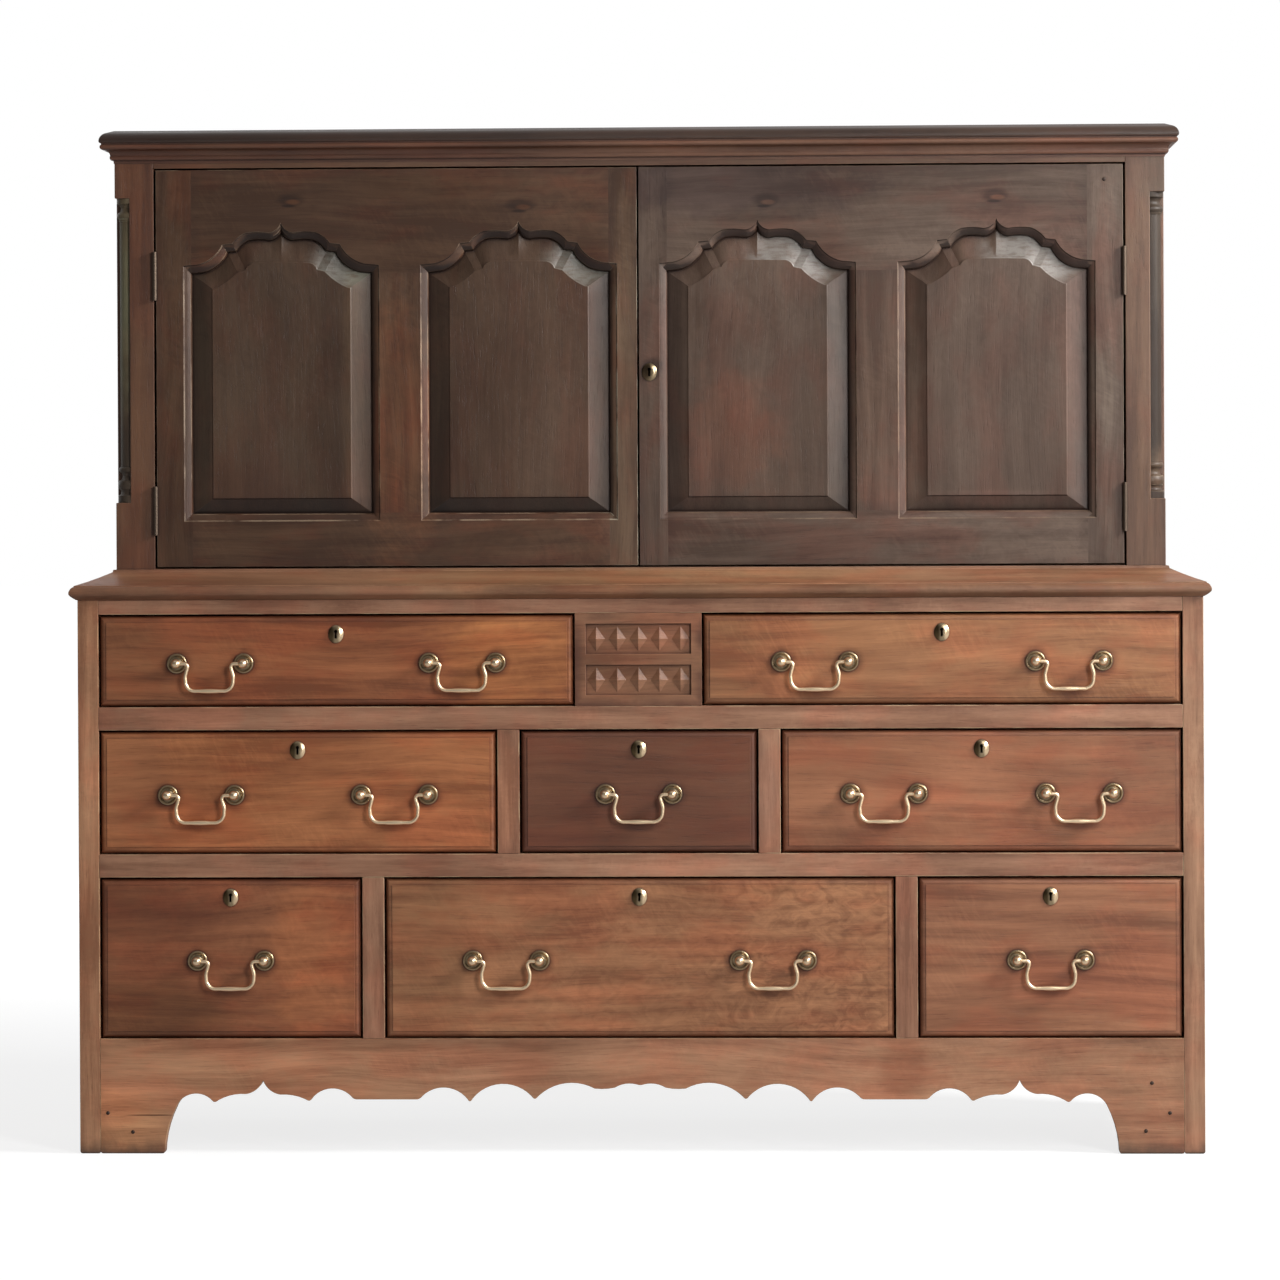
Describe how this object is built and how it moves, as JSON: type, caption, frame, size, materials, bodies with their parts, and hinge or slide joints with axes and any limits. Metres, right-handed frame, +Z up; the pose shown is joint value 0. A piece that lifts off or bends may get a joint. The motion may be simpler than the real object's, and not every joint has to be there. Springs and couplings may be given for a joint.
{
  "type": "linen press",
  "caption": "Oak linen press: a cupboard with arched, fielded panel doors above a chest of drawers with brass bail handles, on a scalloped apron with bracket feet.",
  "frame": {"origin": "on the floor, at the middle of the whole press: halfway across and halfway from the front of the handles to the back boards", "axes": "+X to the right as one faces the doors, +Y from the front to the back, +Z up"},
  "size_m": [1.71, 0.5806, 1.54],
  "materials": {
    "dark_oak": "old dark waxed oak",
    "warm_oak": "waxed reddish oak",
    "lining_oak": "dry unpolished oak",
    "brass": "worn cast brass",
    "iron": "dark wrought iron"
  },
  "bodies": {
    "carcase": {"lower_sides": "warm_oak", "lower_rails": "warm_oak", "lower_muntins": "warm_oak", "tablet_board": "warm_oak", "apron": "warm_oak", "drawer_runners": "lining_oak", "back_boards": "lining_oak", "waist": "warm_oak", "upper_stiles": "dark_oak", "quarter_columns": "dark_oak", "upper_sides": "dark_oak", "upper_rails": "dark_oak", "upper_boards": "lining_oak", "cornice": "dark_oak", "frame_hinge_leaves": "iron"},
    "left_door": {"left_door_frame": "dark_oak", "left_door_panels": "dark_oak", "left_door_hinges": "iron"},
    "right_door": {"right_door_frame": "dark_oak", "right_door_panels": "dark_oak", "right_door_hinges": "iron", "right_door_lock": "brass"},
    "door_bolt": {"door_lock_bolt": "iron"},
    "top_left_drawer": {"top_left_drawer_front": "warm_oak", "top_left_drawer_box": "lining_oak", "top_left_drawer_brass": "brass"},
    "top_left_left_bail": {"top_left_left_bail": "brass"},
    "top_left_right_bail": {"top_left_right_bail": "brass"},
    "top_right_drawer": {"top_right_drawer_front": "warm_oak", "top_right_drawer_box": "lining_oak", "top_right_drawer_brass": "brass"},
    "top_right_left_bail": {"top_right_left_bail": "brass"},
    "top_right_right_bail": {"top_right_right_bail": "brass"},
    "middle_left_drawer": {"middle_left_drawer_front": "warm_oak", "middle_left_drawer_box": "lining_oak", "middle_left_drawer_brass": "brass"},
    "middle_left_left_bail": {"middle_left_left_bail": "brass"},
    "middle_left_right_bail": {"middle_left_right_bail": "brass"},
    "middle_centre_drawer": {"middle_centre_drawer_front": "warm_oak", "middle_centre_drawer_box": "lining_oak", "middle_centre_drawer_brass": "brass"},
    "middle_centre_bail": {"middle_centre_bail": "brass"},
    "middle_right_drawer": {"middle_right_drawer_front": "warm_oak", "middle_right_drawer_box": "lining_oak", "middle_right_drawer_brass": "brass"},
    "middle_right_left_bail": {"middle_right_left_bail": "brass"},
    "middle_right_right_bail": {"middle_right_right_bail": "brass"},
    "bottom_left_drawer": {"bottom_left_drawer_front": "warm_oak", "bottom_left_drawer_box": "lining_oak", "bottom_left_drawer_brass": "brass"},
    "bottom_left_bail": {"bottom_left_bail": "brass"},
    "bottom_centre_drawer": {"bottom_centre_drawer_front": "warm_oak", "bottom_centre_drawer_box": "lining_oak", "bottom_centre_drawer_brass": "brass"},
    "bottom_centre_left_bail": {"bottom_centre_left_bail": "brass"},
    "bottom_centre_right_bail": {"bottom_centre_right_bail": "brass"},
    "bottom_right_drawer": {"bottom_right_drawer_front": "warm_oak", "bottom_right_drawer_box": "lining_oak", "bottom_right_drawer_brass": "brass"},
    "bottom_right_bail": {"bottom_right_bail": "brass"}
  },
  "joints": [
    {"name": "left_door_hinge", "type": "hinge", "parent": "carcase", "child": "left_door", "pos_m": [-0.7304, -0.22155, 1.14275], "axis": [0, 0, -1], "range_deg": [0, 165]},
    {"name": "right_door_hinge", "type": "hinge", "parent": "carcase", "child": "right_door", "pos_m": [0.7304, -0.22155, 1.14275], "axis": [0, 0, 1], "range_deg": [0, 165]},
    {"name": "door_bolt_slide", "type": "slide", "parent": "right_door", "child": "door_bolt", "axis": [-1, 0, 0], "range_m": [0, 0.012]},
    {"name": "top_left_drawer_slide", "type": "slide", "parent": "carcase", "child": "top_left_drawer", "axis": [0, -1, 0], "range_m": [0, 0.38]},
    {"name": "top_left_left_bail_swing", "type": "hinge", "parent": "top_left_drawer", "child": "top_left_left_bail", "pos_m": [-0.643, -0.28325, 0.7365], "axis": [-1, 0, 0], "range_deg": [-8, 165]},
    {"name": "top_left_right_bail_swing", "type": "hinge", "parent": "top_left_drawer", "child": "top_left_right_bail", "pos_m": [-0.264, -0.28325, 0.7365], "axis": [-1, 0, 0], "range_deg": [-8, 165]},
    {"name": "top_right_drawer_slide", "type": "slide", "parent": "carcase", "child": "top_right_drawer", "axis": [0, -1, 0], "range_m": [0, 0.38]},
    {"name": "top_right_left_bail_swing", "type": "hinge", "parent": "top_right_drawer", "child": "top_right_left_bail", "pos_m": [0.264, -0.28325, 0.7365], "axis": [-1, 0, 0], "range_deg": [-8, 165]},
    {"name": "top_right_right_bail_swing", "type": "hinge", "parent": "top_right_drawer", "child": "top_right_right_bail", "pos_m": [0.643, -0.28325, 0.7365], "axis": [-1, 0, 0], "range_deg": [-8, 165]},
    {"name": "middle_left_drawer_slide", "type": "slide", "parent": "carcase", "child": "middle_left_drawer", "axis": [0, -1, 0], "range_m": [0, 0.38]},
    {"name": "middle_left_left_bail_swing", "type": "hinge", "parent": "middle_left_drawer", "child": "middle_left_left_bail", "pos_m": [-0.6575, -0.28325, 0.539], "axis": [-1, 0, 0], "range_deg": [-8, 165]},
    {"name": "middle_left_right_bail_swing", "type": "hinge", "parent": "middle_left_drawer", "child": "middle_left_right_bail", "pos_m": [-0.3665, -0.28325, 0.539], "axis": [-1, 0, 0], "range_deg": [-8, 165]},
    {"name": "middle_centre_drawer_slide", "type": "slide", "parent": "carcase", "child": "middle_centre_drawer", "axis": [0, -1, 0], "range_m": [0, 0.38]},
    {"name": "middle_centre_bail_swing", "type": "hinge", "parent": "middle_centre_drawer", "child": "middle_centre_bail", "pos_m": [0, -0.28325, 0.539], "axis": [-1, 0, 0], "range_deg": [-8, 165]},
    {"name": "middle_right_drawer_slide", "type": "slide", "parent": "carcase", "child": "middle_right_drawer", "axis": [0, -1, 0], "range_m": [0, 0.38]},
    {"name": "middle_right_left_bail_swing", "type": "hinge", "parent": "middle_right_drawer", "child": "middle_right_left_bail", "pos_m": [0.3665, -0.28325, 0.539], "axis": [-1, 0, 0], "range_deg": [-8, 165]},
    {"name": "middle_right_right_bail_swing", "type": "hinge", "parent": "middle_right_drawer", "child": "middle_right_right_bail", "pos_m": [0.6575, -0.28325, 0.539], "axis": [-1, 0, 0], "range_deg": [-8, 165]},
    {"name": "bottom_left_drawer_slide", "type": "slide", "parent": "carcase", "child": "bottom_left_drawer", "axis": [0, -1, 0], "range_m": [0, 0.38]},
    {"name": "bottom_left_bail_swing", "type": "hinge", "parent": "bottom_left_drawer", "child": "bottom_left_bail", "pos_m": [-0.614, -0.28325, 0.29], "axis": [-1, 0, 0], "range_deg": [-8, 165]},
    {"name": "bottom_centre_drawer_slide", "type": "slide", "parent": "carcase", "child": "bottom_centre_drawer", "axis": [0, -1, 0], "range_m": [0, 0.38]},
    {"name": "bottom_centre_left_bail_swing", "type": "hinge", "parent": "bottom_centre_drawer", "child": "bottom_centre_left_bail", "pos_m": [-0.2, -0.28325, 0.29], "axis": [-1, 0, 0], "range_deg": [-8, 165]},
    {"name": "bottom_centre_right_bail_swing", "type": "hinge", "parent": "bottom_centre_drawer", "child": "bottom_centre_right_bail", "pos_m": [0.2, -0.28325, 0.29], "axis": [-1, 0, 0], "range_deg": [-8, 165]},
    {"name": "bottom_right_drawer_slide", "type": "slide", "parent": "carcase", "child": "bottom_right_drawer", "axis": [0, -1, 0], "range_m": [0, 0.38]},
    {"name": "bottom_right_bail_swing", "type": "hinge", "parent": "bottom_right_drawer", "child": "bottom_right_bail", "pos_m": [0.614, -0.28325, 0.29], "axis": [-1, 0, 0], "range_deg": [-8, 165]}
  ]
}
